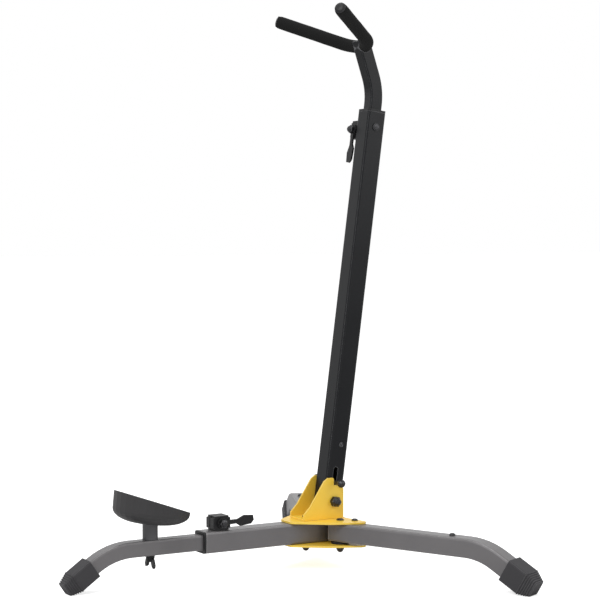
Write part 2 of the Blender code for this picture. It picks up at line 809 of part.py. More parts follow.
def make_leg_clamp(stand):
    front = front_tube_front - clamp_set_back - clamp_length / 2
    matrix = Matrix.Translation((0, -front, front_axis + upright_side / 2 + seat_gap))
    clamp_set(
        ("leg_clamp_block", "leg_clamp_bolt", "leg_clamp_lever", "leg_clamp_nut"),
        stand, "leg_lever_hinge", matrix,
    )


def make_upright(stand):
    """Outer tube on the main pivot; everything here is along the tube's own axis, from the pivot."""
    fold = add_empty("upright_fold", (0, 0, pivot_height), (-upright_lean, 0, 0), stand)
    outer = rounded_square(upright_side, tube_corner)
    inner = rounded_square(upright_side - 2 * tube_wall, tube_corner - tube_wall)
    frames = [
        Matrix.Translation((0, 0, -upright_below_pivot)),
        Matrix.Translation((0, 0, upright_above_pivot)),
    ]
    tube = add_object("upright_tube", sweep(outer, inner, frames), "black", fold)
    half = upright_side / 2
    bolt_hole = rod(
        main_bolt_diameter / 2 + bolt_clearance,
        -half - cutter_overrun,
        half + cutter_overrun,
        16,
        along_x((0, 0, 0)),
    )
    cut([tube], bolt_hole, "upright_bolt_hole", fold)
    make_main_pivot(fold)
    make_lock(fold, tube)
    add_object("upright_collar", stepped_collar(mast_side, frames[1]), "plastic", fold)
    clamp_low = upright_above_pivot - clamp_set_back - clamp_length / 2
    matrix = Matrix.Translation((-half - seat_gap, 0, clamp_low)) @ clamp_turn()
    clamp_set(
        ("height_clamp_block", "height_clamp_bolt", "height_clamp_lever", "height_clamp_nut"),
        fold, "height_lever_hinge", matrix, -1,
    )
    guide = button_bolt(
        guide_screw_radius, guide_screw_head_radius, guide_screw_head_height, guide_screw_length
    )
    guide_height = upright_above_pivot - guide_screw_drop
    guide.transform(along_x((half + seat_gap, 0, guide_height)))
    add_object("guide_screw", guide, "black", fold)
    hole = rod(
        guide_screw_radius + bolt_clearance,
        half - tube_wall - cutter_overrun,
        half + cutter_overrun,
        14,
        along_x((0, 0, guide_height)),
    )
    cut([tube], hole, "guide_screw_hole", fold)
    return fold


def clamp_turn():
    """The clamp stands along -X and its lever hangs down the tube."""
    turn = Matrix.Identity(3)
    turn.col[0] = Vector((0, 1, 0))
    turn.col[1] = Vector((0, 0, -1))
    turn.col[2] = Vector((-1, 0, 0))
    return turn.to_4x4()


def make_main_pivot(fold):
    radius = main_bolt_diameter / 2
    head_seat = -bracket_half - seat_gap
    length = 2 * bracket_half + 2 * seat_gap + main_thread_in_nut
    bolt = button_bolt(radius, main_bolt_head_radius, main_bolt_head_height, length)
    bolt.transform(along_x((head_seat, 0, 0)) @ Matrix.Rotation(math.pi, 4, "X"))
    add_object("pivot_bolt", bolt, "steel", fold)
    nut = dome_nut(
        main_nut_flats, main_nut_hex_height, main_nut_dome, radius + bolt_clearance, main_nut_depth
    )
    nut.transform(along_x((bracket_half + seat_gap, 0, 0)))
    add_object("pivot_nut", nut, "steel", fold)
    for side, sign in (("right", 1), ("left", -1)):
        low = upright_side / 2 + seat_gap
        washer = revolve(
            [
                (radius + bolt_clearance, low),
                (washer_radius, low),
                (washer_radius, low + washer_thickness),
                (radius + bolt_clearance, low + washer_thickness),
            ],
            20,
            Matrix.Rotation(sign * math.pi / 2, 4, "Y"),
        )
        add_object(f"pivot_washer_{side}", washer, "steel", fold)


def make_lock(fold, tube):
    """Cross pin in slots of the tube, resting behind the crest of both ears, with a ball at each end."""
    place = Vector((0, lock_set_back, lock_rise))
    place.rotate(Matrix.Rotation(upright_lean, 3, "X"))
    lock = add_empty("lock_pin_slide", place, (0, 0, 0), fold)
    radius = lock_pin_diameter / 2
    reach = bracket_half + lock_stem
    ball = lock_knob_radius
    profile = [(0, -reach - ball)]
    for step in range(1, 6):
        angle = math.radians(-90 + 150 * step / 5)
        profile.append((ball * math.cos(angle), -reach + ball * math.sin(angle)))
    profile.append((radius, -reach + ball * 0.86))
    mirrored = [(r, -z) for r, z in reversed(profile)]
    pin = revolve(profile + mirrored, 14)
    pin.transform(Matrix.Rotation(math.pi / 2, 4, "Y"))
    add_object("lock_pin", pin, "black", lock)
    half = upright_side / 2
    slot = radius + bolt_clearance
    outline = []
    for step in range(7):
        angle = math.radians(180 + 180 * step / 6)
        outline.append((place.y + slot * math.cos(angle), place.z + slot * math.sin(angle)))
    for step in range(7):
        angle = math.radians(180 * step / 6)
        outline.append((place.y + slot * math.cos(angle), place.z + lock_travel + slot * math.sin(angle)))
    cut([tube], prism(outline, -half - 1 * mm, half + 1 * mm, "X"), "lock_slot", fold)


def make_mast(fold):
    """Inner tube that slides up out of the upright and leans forward at its neck."""
    slide = add_empty("mast_slide", (0, 0, 0), (0, 0, 0), fold)
    outer = rounded_square(mast_side, inner_tube_corner)
    inner = rounded_square(mast_side - 2 * tube_wall, inner_tube_corner - tube_wall)
    start = upright_above_pivot - mast_engaged
    bend_start = upright_above_pivot + collar_length + neck_rise
    frames = [Matrix.Translation((0, 0, start))]
    steps = 7
    for step in range(steps + 1):
        angle = neck_bend * step / steps
        place = (0, -neck_radius * (1 - math.cos(angle)), bend_start + neck_radius * math.sin(angle))
        frames.append(Matrix.Translation(place) @ Matrix.Rotation(angle, 4, "X"))
    top = frames[-1] @ Matrix.Translation((0, 0, neck_straight))
    frames.append(top @ Matrix.Translation((0, 0, foam_diameter * 0.55)))
    mast = add_object("mast_tube", sweep(outer, inner, frames), "black", slide)
    bush_outer = rounded_square(upright_side - 2 * tube_wall - 2 * slide_gap, 1.2 * mm)
    plug = rounded_square(mast_side - 2 * tube_wall - 2 * seat_gap, 0.8 * mm)
    mesh_data = bmesh.new()
    levels = (
        (bush_outer, start - seat_gap - 6 * mm),
        (bush_outer, start - seat_gap),
        (plug, start - seat_gap),
        (plug, start + 10 * mm),
    )
    rows = [ring(mesh_data, outline, Matrix.Translation((0, 0, level))) for outline, level in levels]
    for first, second in zip(rows, rows[1:]):
        bridge(mesh_data, first, second)
    mesh_data.faces.new(rows[0])
    mesh_data.faces.new(rows[-1])
    add_object("mast_bush", mesh_data, "plastic", slide)
    make_yoke(slide, mast, top)


def yoke_path(root):
    """Centre line of the fork: a round root, then straight arms that spread and rise forward."""
    pitch = math.atan2(yoke_rise, yoke_forward)
    forward = Vector((0, -math.cos(pitch), math.sin(pitch)))
    forward.rotate(Matrix.Rotation(upright_lean, 3, "X"))
    length = math.hypot(yoke_forward, yoke_rise)
    span = (length - yoke_root_radius * (1 - math.sin(yoke_arm_angle))) / math.cos(yoke_arm_angle)
    points = []
    points.append((length, -yoke_root_radius * math.cos(yoke_arm_angle) - span * math.sin(yoke_arm_angle)))
    steps = 10
    for step in range(steps + 1):
        angle = -(math.pi / 2 - yoke_arm_angle) + (math.pi - 2 * yoke_arm_angle) * step / steps
        points.append((
            yoke_root_radius * (1 - math.cos(angle)), yoke_root_radius * math.sin(angle)
        ))
    points.append((length, yoke_root_radius * math.cos(yoke_arm_angle) + span * math.sin(yoke_arm_angle)))
    return [root + forward * along + Vector((1, 0, 0)) * across for along, across in points], forward


def frames_along(points, normal):
    frames = []
    for index, point in enumerate(points):
        before = points[max(index - 1, 0)]
        after = points[min(index + 1, len(points) - 1)]
        tangent = (after - before).normalized()
        frames.append(frame_on(point, tangent, normal))
    return frames


def make_yoke(slide, mast, top):
    root = top.translation.copy()
    points, forward = yoke_path(root)
    normal = forward.cross(Vector((1, 0, 0))).normalized()
    frames = frames_along(points, normal)
    add_object("yoke_rod", sweep(circle(rod_diameter / 2, 10), None, frames), "black", slide)
    add_object(
        "foam_sleeve",
        sweep(circle(foam_diameter / 2, 14), circle(rod_diameter / 2 + seat_gap, 14), frames),
        "foam",
        slide,
    )
    ends = {"left": (frames[0], -1), "right": (frames[-1], 1)}
    for side, (frame, sign) in ends.items():
        cap = revolve(
            [
                (0, seat_gap),
                (foam_diameter / 2 - 1.2 * mm, seat_gap),
                (foam_diameter / 2 - 1.2 * mm, 1.0 * mm),
                (foam_diameter / 4, 2.4 * mm),
                (0, 2.8 * mm),
            ],
            14,
        )
        turn = Matrix.Identity(4) if sign > 0 else Matrix.Rotation(math.pi, 4, "X")
        cap.transform(frame @ turn)
        add_object(f"yoke_cap_{side}", cap, "plastic", slide)
    saddle = sweep(circle(foam_diameter / 2 + seat_gap, 14), None, frames)
    cut([mast], saddle, "neck_saddle", slide)


def stand_on_origin(stand):
    """Put the middle of the whole stand's footprint, at floor level, on the origin."""
    bpy.context.view_layer.update()
    graph = bpy.context.evaluated_depsgraph_get()
    low = Vector((1e9, 1e9, 1e9))
    high = -low
    for thing in bpy.context.scene.objects:
        if thing.type != "MESH" or thing.hide_render:
            continue
        evaluated = thing.evaluated_get(graph)
        for vert in evaluated.to_mesh().vertices:
            place = thing.matrix_world @ vert.co
            low = Vector(map(min, low, place))
            high = Vector(map(max, high, place))
    stand.location = (-(low.x + high.x) / 2, -(low.y + high.y) / 2, -low.z)
    bpy.context.view_layer.update()


def main():
    clear_scene()
    stand = add_empty("stand")
    make_base(stand)
    make_rear_legs(stand)
    make_front_leg(stand)
    fold = make_upright(stand)
    make_mast(fold)
    stand_on_origin(stand)


main()
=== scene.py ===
import json
import math

import bmesh
import bpy
from mathutils import Matrix, Vector, noise


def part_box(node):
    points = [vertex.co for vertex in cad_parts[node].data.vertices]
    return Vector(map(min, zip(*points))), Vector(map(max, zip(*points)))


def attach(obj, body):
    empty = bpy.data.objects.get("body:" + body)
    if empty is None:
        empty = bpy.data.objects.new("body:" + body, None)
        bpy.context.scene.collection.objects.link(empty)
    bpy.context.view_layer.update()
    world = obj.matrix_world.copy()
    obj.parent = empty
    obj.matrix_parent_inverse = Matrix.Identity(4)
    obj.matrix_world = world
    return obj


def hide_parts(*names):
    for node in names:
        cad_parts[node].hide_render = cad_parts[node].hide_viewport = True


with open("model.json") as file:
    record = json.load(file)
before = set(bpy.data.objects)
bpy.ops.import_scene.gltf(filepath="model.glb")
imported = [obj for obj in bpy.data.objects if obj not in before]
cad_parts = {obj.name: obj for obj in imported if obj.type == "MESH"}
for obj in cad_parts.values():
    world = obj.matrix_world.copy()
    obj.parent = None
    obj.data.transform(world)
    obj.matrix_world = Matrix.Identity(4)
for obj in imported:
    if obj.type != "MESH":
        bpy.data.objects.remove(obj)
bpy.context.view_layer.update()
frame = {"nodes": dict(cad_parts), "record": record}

mm = 0.001
record = frame["record"]
joints = {joint["name"]: joint for joint in record["behaviour"]["joints"]}
pivot = Vector(joints["upright_fold"]["pos_m"])


# Camera, floor and lights
view = {
    "yaw": 30.5,
    "distance": 2.300,
    "eyeHeight": 0.449,
    "across": 0.0372,
    "imageSide": 600,
    "horizonRow": 235,
    "focalPixels": 1700,
    "sensorWidth": 36,
    "clipStart": 0.05,
}


def setCamera():
    yaw = math.radians(view["yaw"])
    right = Vector((math.sin(yaw), math.cos(yaw), 0))
    away = Vector((-math.cos(yaw), math.sin(yaw), 0))
    place = Vector((pivot.x, pivot.y, 0)) - right * view["across"] - away * view["distance"]
    place.z = view["eyeHeight"]
    pitch = math.atan((view["imageSide"] / 2 - view["horizonRow"]) / view["focalPixels"])
    look = away * math.cos(pitch) - Vector((0, 0, 1)) * math.sin(pitch)
    data = bpy.data.cameras.new("camera")
    data.sensor_width = view["sensorWidth"]
    data.lens = view["sensorWidth"] * view["focalPixels"] / view["imageSide"]
    data.clip_start = view["clipStart"]
    camera = bpy.data.objects.new("camera", data)
    camera.location = place
    camera.rotation_euler = look.to_track_quat("-Z", "Y").to_euler()
    bpy.context.scene.collection.objects.link(camera)
    bpy.context.scene.camera = camera
    return right, away


right, away = setCamera()


def newMaterial(name):
    material = bpy.data.materials.new(name)
    material.use_nodes = True
    nodes = material.node_tree.nodes
    return material, nodes, material.node_tree.links, nodes["Principled BSDF"]


white = (1, 1, 1, 1)
stage = {
    "reach": 30.0,
    "floorColour": (0.90, 0.90, 0.90, 1),
    "floorRoughness": 0.9,
    "floorSpecular": 0.1,
    "floorGlow": 0.66,        # seen by the camera only
    "fill": 0.42,             # what the white backdrop gives off as light
    "backdrop": 1.0,          # how bright it looks itself
    "aimHeight": 0.35,
}
lamps = {
    "keyLamp": {"across": -1.4, "away": -2.2, "height": 2.6, "size": 1.6, "power": 54},
    "fillLamp": {"across": 2.4, "away": -0.8, "height": 1.2, "size": 1.4, "power": 11},
    "topLamp": {"across": 0.0, "away": 0.4, "height": 3.0, "size": 1.8, "power": 22},
}


def setFloor():
    mesh = bpy.data.meshes.new("studioFloor")
    reach = stage["reach"]
    corners = [(-reach, -reach, 0), (reach, -reach, 0), (reach, reach, 0), (-reach, reach, 0)]
    mesh.from_pydata(corners, [], [(0, 1, 2, 3)])
    floor = bpy.data.objects.new("studioFloor", mesh)
    bpy.context.scene.collection.objects.link(floor)
    material, nodes, links, shader = newMaterial("paleFloor")
    shader.inputs["Base Color"].default_value = stage["floorColour"]
    shader.inputs["Roughness"].default_value = stage["floorRoughness"]
    shader.inputs["Specular IOR Level"].default_value = stage["floorSpecular"]
    path = nodes.new("ShaderNodeLightPath")
    glow = nodes.new("ShaderNodeMath")
    glow.operation = "MULTIPLY"
    glow.inputs[1].default_value = stage["floorGlow"]
    links.new(path.outputs["Is Camera Ray"], glow.inputs[0])
    shader.inputs["Emission Color"].default_value = white
    links.new(glow.outputs[0], shader.inputs["Emission Strength"])
    mesh.materials.append(material)


def setWorld():
    # a backdrop that looks white, also in reflections, and lights the stand less than that
    world = bpy.data.worlds.new("studioWorld")
    bpy.context.scene.world = world
    world.use_nodes = True
    nodes = world.node_tree.nodes
    links = world.node_tree.links
    background = nodes["Background"]
    path = nodes.new("ShaderNodeLightPath")
    seen = nodes.new("ShaderNodeMath")
    seen.operation = "MAXIMUM"
    links.new(path.outputs["Is Camera Ray"], seen.inputs[0])
    links.new(path.outputs["Is Glossy Ray"], seen.inputs[1])
    strength = nodes.new("ShaderNodeMapRange")
    strength.inputs["To Min"].default_value = stage["fill"]
    strength.inputs["To Max"].default_value = stage["backdrop"]
    links.new(seen.outputs[0], strength.inputs["Value"])
    background.inputs["Color"].default_value = white
    links.new(strength.outputs["Result"], background.inputs["Strength"])


def setLamps():
    aim = Vector((0, 0, stage["aimHeight"]))
    for name, light in lamps.items():
        place = right * light["across"] + away * light["away"] + Vector((0, 0, light["height"]))
        data = bpy.data.lights.new(name, "AREA")
        data.size = light["size"]
        data.energy = light["power"]
        lamp = bpy.data.objects.new(name, data)
        lamp.location = place
        lamp.rotation_euler = (aim - place).to_track_quat("-Z", "Y").to_euler()
        bpy.context.scene.collection.objects.link(lamp)


setFloor()
setWorld()
setLamps()
bpy.context.scene.view_settings.view_transform = "Standard"
print("camera, floor and lights set")


# What every finish has unless its own look says otherwise
coat = {
    "grainScale": 900,
    "grainDetail": 4.0,
    "cloudScale": 18,
    "cloudDetail": 3.0,
    # the convex-edge mask: worn edges with a painted highlight line along them
    "wearAndHighlightRadius": 0.0012,
    "wearAndHighlightStart": 0.985,       # cosine of the turn from the face to the rounded edge
    "wearAndHighlightFull": 0.80,
    "wearAndHighlightBreakUp": 120.0,
    "wearAndHighlightSamples": 4,
    "roughSpread": 0.08,
    "metallic": 0.0,
    "specular": 0.5,
    "bumpDistance": 0.0004,
}


def newGroup(name, inputs, outputs):
    group = bpy.data.node_groups.new(name, "ShaderNodeTree")
    for label, kind, value in inputs:
        socket = group.interface.new_socket(label, in_out="INPUT", socket_type=kind)
        socket.default_value = value
    for label, kind in outputs:
        group.interface.new_socket(label, in_out="OUTPUT", socket_type=kind)
    return group, group.nodes.new("NodeGroupInput"), group.nodes.new("NodeGroupOutput")


def buildGrainGroup():
    # a mask of slow cloudiness and a height of fine grain
    group, start, end = newGroup(
        "coatGrain",
        [
            ("Grain Scale", "NodeSocketFloat", coat["grainScale"]),
            ("Cloud Scale", "NodeSocketFloat", coat["cloudScale"]),
        ],
        [("Cloud", "NodeSocketFloat"), ("Height", "NodeSocketFloat")],
    )
    nodes, links = group.nodes, group.links
    place = nodes.new("ShaderNodeTexCoord")
    fine = nodes.new("ShaderNodeTexNoise")
    slow = nodes.new("ShaderNodeTexNoise")
    fine.inputs["Detail"].default_value = coat["grainDetail"]
    slow.inputs["Detail"].default_value = coat["cloudDetail"]
    for texture, label in ((fine, "Grain Scale"), (slow, "Cloud Scale")):
        links.new(place.outputs["Object"], texture.inputs["Vector"])
        links.new(start.outputs[label], texture.inputs["Scale"])
    links.new(slow.outputs["Fac"], end.inputs["Cloud"])
    links.new(fine.outputs["Fac"], end.inputs["Height"])
    return group


def buildWearAndHighlightGroup():
    # picks out the convex edges with a broken mask, for worn edges with a painted highlight line
    # along them
    group, start, end = newGroup(
        "edgeWearAndHighlight",
        [
            ("Radius", "NodeSocketFloat", coat["wearAndHighlightRadius"]),
            ("Break Up", "NodeSocketFloat", coat["wearAndHighlightBreakUp"]),
        ],
        [("Mask", "NodeSocketFloat")],
    )
    nodes, links = group.nodes, group.links
    bevel = nodes.new("ShaderNodeBevel")
    bevel.samples = coat["wearAndHighlightSamples"]
    links.new(start.outputs["Radius"], bevel.inputs["Radius"])
    shape = nodes.new("ShaderNodeNewGeometry")
    turn = nodes.new("ShaderNodeVectorMath")
    turn.operation = "DOT_PRODUCT"
    links.new(bevel.outputs["Normal"], turn.inputs[0])
    links.new(shape.outputs["Normal"], turn.inputs[1])
    edge = nodes.new("ShaderNodeMapRange")
    edge.inputs["From Min"].default_value = coat["wearAndHighlightStart"]
    edge.inputs["From Max"].default_value = coat["wearAndHighlightFull"]
    links.new(turn.outputs["Value"], edge.inputs["Value"])
    place = nodes.new("ShaderNodeTexCoord")
    texture = nodes.new("ShaderNodeTexNoise")
    links.new(place.outputs["Object"], texture.inputs["Vector"])
    links.new(start.outputs["Break Up"], texture.inputs["Scale"])
    broken = nodes.new("ShaderNodeMath")
    broken.operation = "MULTIPLY"
    links.new(edge.outputs["Result"], broken.inputs[0])
    links.new(texture.outputs["Fac"], broken.inputs[1])
    links.new(broken.outputs[0], end.inputs["Mask"])
    return group


grainGroup = buildGrainGroup()
wearAndHighlightGroup = buildWearAndHighlightGroup()


def coatedMaterial(name, ownLook):
    # a coat with cloudiness, fine grain and worn edges with a painted highlight along them, from one
    # look laid over the shared values
    look = {**coat, **ownLook}
    material, nodes, links, shader = newMaterial(name)
    grain = nodes.new("ShaderNodeGroup")
    grain.node_tree = grainGroup
    grain.inputs["Grain Scale"].default_value = look["grainScale"]
    grain.inputs["Cloud Scale"].default_value = look["cloudScale"]
    wearAndHighlight = nodes.new("ShaderNodeGroup")
    wearAndHighlight.node_tree = wearAndHighlightGroup
    wearAndHighlight.inputs["Radius"].default_value = look["wearAndHighlightRadius"]
    cloud = nodes.new("ShaderNodeMix")
    cloud.data_type = "RGBA"
    cloud.inputs["A"].default_value = (*look["colour"], 1)
    cloud.inputs["B"].default_value = (*look["cloudColour"], 1)
    links.new(grain.outputs["Cloud"], cloud.inputs["Factor"])
    # the paler edge colour laid on the convex edges: partly wear, partly painted highlight
    edgeWearAndHighlightMix = nodes.new("ShaderNodeMix")
    edgeWearAndHighlightMix.data_type = "RGBA"
    edgeWearAndHighlightMix.inputs["B"].default_value = (*look["edgeWearAndHighlightColour"], 1)
    links.new(wearAndHighlight.outputs["Mask"], edgeWearAndHighlightMix.inputs["Factor"])
    links.new(cloud.outputs["Result"], edgeWearAndHighlightMix.inputs["A"])
    links.new(edgeWearAndHighlightMix.outputs["Result"], shader.inputs["Base Color"])
    rough = nodes.new("ShaderNodeMapRange")
    rough.inputs["To Min"].default_value = look["roughness"] - look["roughSpread"]
    rough.inputs["To Max"].default_value = look["roughness"] + look["roughSpread"]
    links.new(grain.outputs["Cloud"], rough.inputs["Value"])
    links.new(rough.outputs["Result"], shader.inputs["Roughness"])
    shader.inputs["Metallic"].default_value = look["metallic"]
    shader.inputs["Specular IOR Level"].default_value = look["specular"]
    bump = nodes.new("ShaderNodeBump")
    bump.inputs["Strength"].default_value = look["bump"]
    bump.inputs["Distance"].default_value = look["bumpDistance"]
    links.new(grain.outputs["Height"], bump.inputs["Height"])
    links.new(bump.outputs["Normal"], shader.inputs["Normal"])
    return material


# each edge colour is the paler tone of the convex edges: partly wear, partly painted highlight lines
looks = {
    "yellowCoat": {
        "colour": (0.98, 0.62, 0.050),
        "cloudColour": (1.0, 0.70, 0.085),
        "edgeWearAndHighlightColour": (1.0, 0.86, 0.40),
        "roughness": 0.34,
        "bump": 0.06,
        "grainScale": 1400,
    },
    "legCoat": {
        "colour": (0.125, 0.120, 0.124),
        "cloudColour": (0.175, 0.168, 0.172),
        # pale edge lines of the legs, partly painted highlight
        "edgeWearAndHighlightColour": (0.62, 0.60, 0.60),
        "roughness": 0.34,
        "bump": 0.10,
        "grainScale": 1800,
        "metallic": 0.15,
        "wearAndHighlightRadius": 0.0022,
    },
    "mastCoat": {
        "colour": (0.005, 0.0055, 0.007),
        "cloudColour": (0.008, 0.0085, 0.010),
        # pale corner line of the upright, partly painted highlight
        "edgeWearAndHighlightColour": (0.22, 0.22, 0.23),
        "roughness": 0.30,
        "bump": 0.05,
        "grainScale": 1800,
        "specular": 0.20,
        "wearAndHighlightRadius": 0.0020,
    },
    "footRubber": {
        "colour": (0.038, 0.037, 0.040),
        "cloudColour": (0.054, 0.052, 0.056),
        "edgeWearAndHighlightColour": (0.34, 0.34, 0.35),
        "roughness": 0.70,
        "bump": 0.18,
        "grainScale": 1100,
        "specular": 0.3,
    },
    "cupRubber": {
        "colour": (0.024, 0.023, 0.025),
        "cloudColour": (0.032, 0.031, 0.032),
        # pale rim line of the cup, partly painted highlight
        "edgeWearAndHighlightColour": (0.20, 0.20, 0.21),
        "roughness": 0.52,
        "bump": 0.08,
        "grainScale": 1300,
        "specular": 0.4,
    },
    "postPlastic": {
        "colour": (0.060, 0.060, 0.064),
        "cloudColour": (0.080, 0.080, 0.085),
        "edgeWearAndHighlightColour": (0.16, 0.16, 0.17),
        "roughness": 0.40,
        "bump": 0.06,
        "grainScale": 1300,
    },
    "mouldedPlastic": {
        "colour": (0.009, 0.009, 0.010),
        "cloudColour": (0.014, 0.014, 0.015),
        "edgeWearAndHighlightColour": (0.08, 0.08, 0.08),
        "roughness": 0.40,
        "bump": 0.12,
        "specular": 0.25,
    },
    "blackFastener": {
        "colour": (0.026, 0.026, 0.028),
        "cloudColour": (0.040, 0.040, 0.043),
        "edgeWearAndHighlightColour": (0.30, 0.30, 0.31),
        "roughness": 0.28,
        "bump": 0.05,
        "grainScale": 2000,
        "metallic": 0.7,
    },
    "foamSkin": {
        "colour": (0.010, 0.010, 0.010),
        "cloudColour": (0.016, 0.016, 0.016),
        "edgeWearAndHighlightColour": (0.022, 0.022, 0.022),
        "roughness": 0.95,
        "bump": 0.55,
        "grainScale": 700,
        "specular": 0.15,
    },
}
materials = {name: coatedMaterial(name, look) for name, look in looks.items()}
print("materials built")


# Finishes of the CAD nodes
slotLooks = {
    "yellow_steel": "yellowCoat",
    "leg_tube": "legCoat",
    "mast_tube": "mastCoat",
    "foam": "foamSkin",
    "rubber": "footRubber",
    "black_plastic": "mouldedPlastic",
    "fastener": "blackFastener",
}
nodeLooks = {"cup": "cupRubber", "cup_post": "postPlastic"}
slotOf = {part["node"]: part["material_slot"] for part in record["subparts"]}
for node, thing in frame["nodes"].items():
    look = nodeLooks.get(node, slotLooks[slotOf[node]])
    thing.data.materials.clear()
    thing.data.materials.append(materials[look])
print("CAD nodes finished")


def addMesh(name, meshData, material, sharpAngle):
    mesh = bpy.data.meshes.new(name)
    meshData.normal_update()
    bmesh.ops.recalc_face_normals(meshData, faces=meshData.faces)
    meshData.to_mesh(mesh)
    meshData.free()
    mesh.shade_smooth()
    mesh.set_sharp_from_angle(angle=math.radians(sharpAngle))
    mesh.materials.append(material)
    thing = bpy.data.objects.new(name, mesh)
    bpy.context.scene.collection.objects.link(thing)
    return thing


# Foam sleeve on the fork
foam = {
    "radius": 8.7 * mm,
    "bore": 4.4 * mm,
    "rodRadius": 4 * mm,
    "rootBend": 38 * mm,
    "armAngle": 33,
    "tipShare": 0.62,         # of the rod's radius, as its end is square to the spread arm
    "bendSteps": 24,
    "armSteps": 40,
    "around": 40,
    "endRound": 1.1 * mm,
    "endFall": 0.8,           # rings over which the rounded end dies away
    "dent": 0.22 * mm,
    "dentScale": 60,
    "sharpAngle": 60,
}


def forkPath():
    # the rod's centre line, worked out from its CAD box: a round root and two straight spread arms
    rodLow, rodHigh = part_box("yoke_rod")
    rodRadius = foam["rodRadius"]
    rootY = rodHigh[1] - rodRadius
    tipY = rodLow[1] + rodRadius * foam["tipShare"]
    rise = (rodHigh[2] - rodRadius) - (rodLow[2] + rodRadius)
    reach = math.hypot(rootY - tipY, rise)
    forward = Vector((0, tipY - rootY, rise)).normalized()
    root = Vector((0, rootY, rodLow[2] + rodRadius))
    arm = math.radians(foam["armAngle"])
    bend = foam["rootBend"]
    bendAlong = bend * (1 - math.sin(arm))
    bendAcross = bend * math.cos(arm)
    span = (reach - bendAlong) / math.cos(arm)
    half = []
    for step in range(foam["bendSteps"] + 1):
        angle = (math.pi / 2 - arm) * step / foam["bendSteps"]
        half.append((bend * (1 - math.cos(angle)), bend * math.sin(angle)))
    for step in range(1, foam["armSteps"] + 1):
        run = span * step / foam["armSteps"]
        half.append((bendAlong + run * math.cos(arm), bendAcross + run * math.sin(arm)))
    whole = [(along, -across) for along, across in reversed(half[1:])] + half
    return [root + forward * along + Vector((across, 0, 0)) for along, across in whole], forward


def bridgeRings(meshData, first, second):
    count = len(first)
    for step in range(count):
        following = (step + 1) % count
        meshData.faces.new((first[step], first[following], second[following], second[step]))


def makeFoam():
    points, forward = forkPath()
    normal = forward.cross(Vector((1, 0, 0))).normalized()
    meshData = bmesh.new()
    outside = []
    inside = []
    for index, point in enumerate(points):
        before = points[max(index - 1, 0)]
        after = points[min(index + 1, len(points) - 1)]
        tangent = (after - before).normalized()
        sideways = tangent.cross(normal).normalized()
        fromEnd = min(index, len(points) - 1 - index)
        rounding = foam["endRound"] * math.exp(-fromEnd / foam["endFall"])
        outerRing = []
        innerRing = []
        for step in range(foam["around"]):
            angle = 2 * math.pi * step / foam["around"]
            outward = normal * math.cos(angle) + sideways * math.sin(angle)
            skin = point + outward * foam["radius"]
            dent = noise.noise(skin * foam["dentScale"]) * foam["dent"]
            outerRing.append(meshData.verts.new(point + outward * (foam["radius"] + dent - rounding)))
            innerRing.append(meshData.verts.new(point + outward * foam["bore"]))
        outside.append(outerRing)
        inside.append(innerRing)
    for rings in (outside, inside):
        for first, second in zip(rings, rings[1:]):
            bridgeRings(meshData, first, second)
    bridgeRings(meshData, outside[0], inside[0])
    bridgeRings(meshData, outside[-1], inside[-1])
    sleeve = addMesh("foamSleeve", meshData, materials["foamSkin"], foam["sharpAngle"])
    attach(sleeve, "mast")
    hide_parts("foam_sleeve")


makeFoam()
print("foam sleeve made")


# Ribs round the narrow tips of the rubber feet
feetRibs = {
    "count": 6,
    "ribRadius": 0.95 * mm,
    "ribSides": 8,
    "firstReach": 28.5 * mm,
    "lastReach": 42.5 * mm,
    "sleeve": 27 * mm,
    "tip": 17 * mm,
    "tipShare": 0.66,
    "corner": 0.09,           # of the side
    "cornerSteps": 4,
    "mouthDepth": 0.1 * mm,
    "floorGap": 0.2 * mm,
}
feet = {
    "front_foot": {
        "body": "front_leg",
        "side": 26 * mm,
        "droop": 35,
        "heading": (0, -1),
    },
    "rear_foot_right": {
        "body": "rear_leg_right",
        "side": 31 * mm,
        "droop": 30,
        "heading": (0.9135, 0.4067),
    },
    "rear_foot_left": {
        "body": "rear_leg_left",
        "side": 31 * mm,
        "droop": 30,
        "heading": (-0.9135, 0.4067),
    },
}


